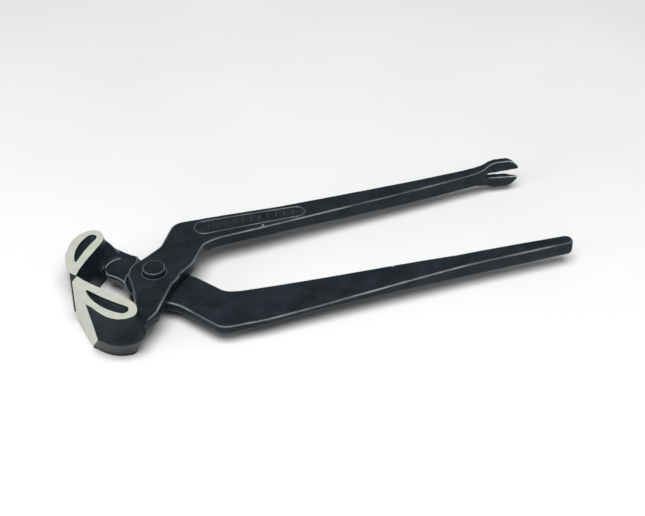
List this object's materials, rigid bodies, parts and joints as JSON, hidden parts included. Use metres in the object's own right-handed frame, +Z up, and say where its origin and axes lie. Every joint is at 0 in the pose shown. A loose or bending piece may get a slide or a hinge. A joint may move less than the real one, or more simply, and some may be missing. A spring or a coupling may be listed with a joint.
{
  "type": "end-cutting pincers",
  "caption": "Forged carpenter's end-cutting pincers: crescent jaws on a lapped rivet joint, long handles, and a nail claw at a handle's end.",
  "frame": {"origin": "under the middle of the tool's bounding box, on the surface that the jaws' lower end faces rest on", "axes": "+X from the jaws to the handle ends, +Y to the handle with the nail claw, +Z up along the rivet"},
  "size_m": [0.2028, 0.0692, 0.0196],
  "materials": {
    "black_enamel": "semi-gloss black enamel over a forged skin, with light edge wear",
    "ground_steel": "bare steel, ground flat on the end faces of the jaws and on their front bevels",
    "blackened_rivet": "blackened steel, polished where the head's edge has been turned"
  },
  "bodies": {
    "plain_half": {"plain_handle_half": "black_enamel", "pivot_rivet": "blackened_rivet"},
    "claw_half": {"claw_handle_half": "black_enamel"}
  },
  "joints": [
    {"name": "pivot_hinge", "type": "hinge", "parent": "plain_half", "child": "claw_half", "pos_m": [-0.06858, 0.00217, 0.0098], "axis": [0, 0, 1], "range_deg": [0, 28]}
  ]
}
